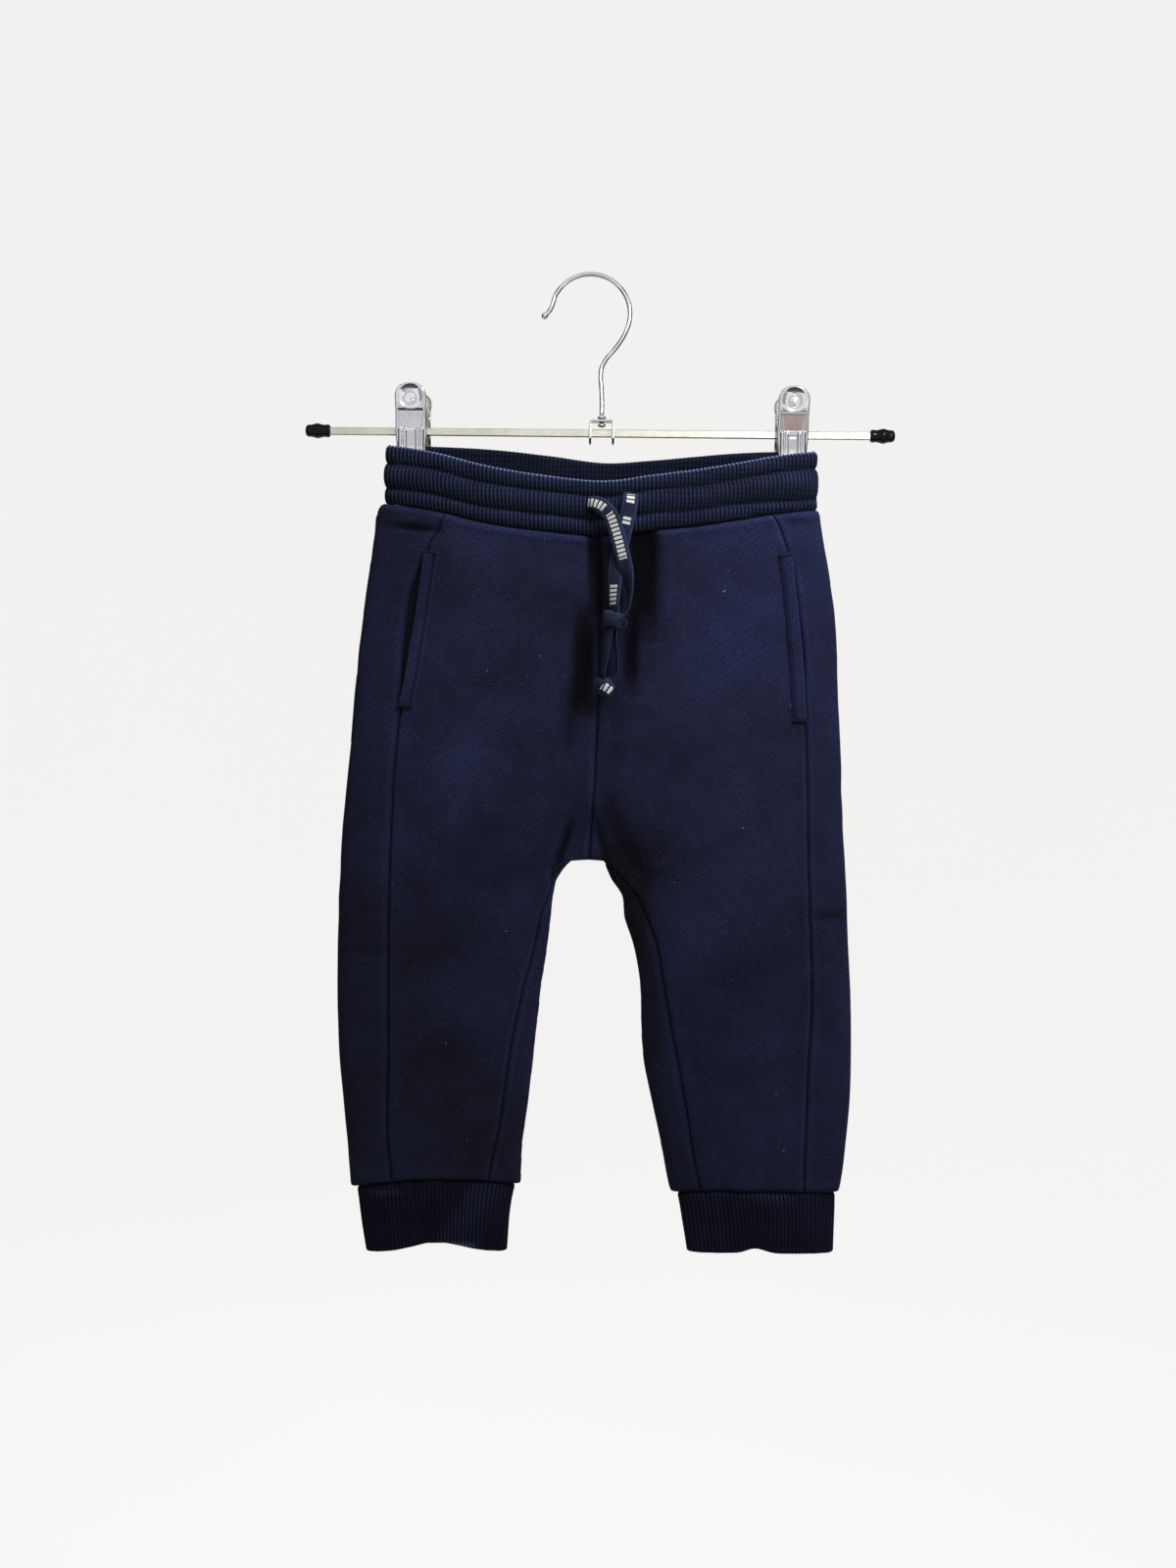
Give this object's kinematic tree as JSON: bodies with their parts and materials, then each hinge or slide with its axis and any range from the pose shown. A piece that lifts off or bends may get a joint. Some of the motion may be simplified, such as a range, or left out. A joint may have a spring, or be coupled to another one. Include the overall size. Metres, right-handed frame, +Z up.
{
  "type": "jogger sweatpants on a two-clip trouser hanger",
  "caption": "Child's fleece joggers with a ribbed waistband and cuffs, slanted welt pockets and a knotted drawstring, hung flat from a metal clip hanger.",
  "frame": {"origin": "inside of the hook's crown, where it rests on a rail", "axes": "+Z up, -Y is the front of the trousers, +X is to the right as seen from the front"},
  "size_m": [0.3192, 0.0352, 0.5302],
  "materials": {
    "navy_fleece": "brushed, matte",
    "navy_rib": "ribbed, matte",
    "drawstring_tape": "woven, matte",
    "chromed_steel": "polished",
    "satin_nickel": "satin",
    "black_cap": "gloss"
  },
  "bodies": {
    "root": {"waistband": "navy_rib", "front_left": "navy_fleece", "side_left": "navy_fleece", "back_left": "navy_fleece", "pocket_welt_left": "navy_fleece", "pocket_facing_left": "navy_rib", "cuff_left": "navy_rib", "front_right": "navy_fleece", "side_right": "navy_fleece", "back_right": "navy_fleece", "pocket_welt_right": "navy_fleece", "pocket_facing_right": "navy_rib", "cuff_right": "navy_rib", "drawstring_left": "drawstring_tape", "drawstring_right": "drawstring_tape", "drawstring_end_left": "drawstring_tape", "drawstring_end_right": "drawstring_tape", "drawstring_knot": "drawstring_tape", "drawstring_end_knot": "drawstring_tape", "hook": "chromed_steel", "hook_rivet": "chromed_steel", "stirrup": "chromed_steel", "bar": "satin_nickel", "end_cap_left": "black_cap", "clip_left_front": "chromed_steel", "clip_left_back": "chromed_steel", "end_cap_right": "black_cap", "clip_right_front": "chromed_steel", "clip_right_back": "chromed_steel"}
  },
  "joints": []
}
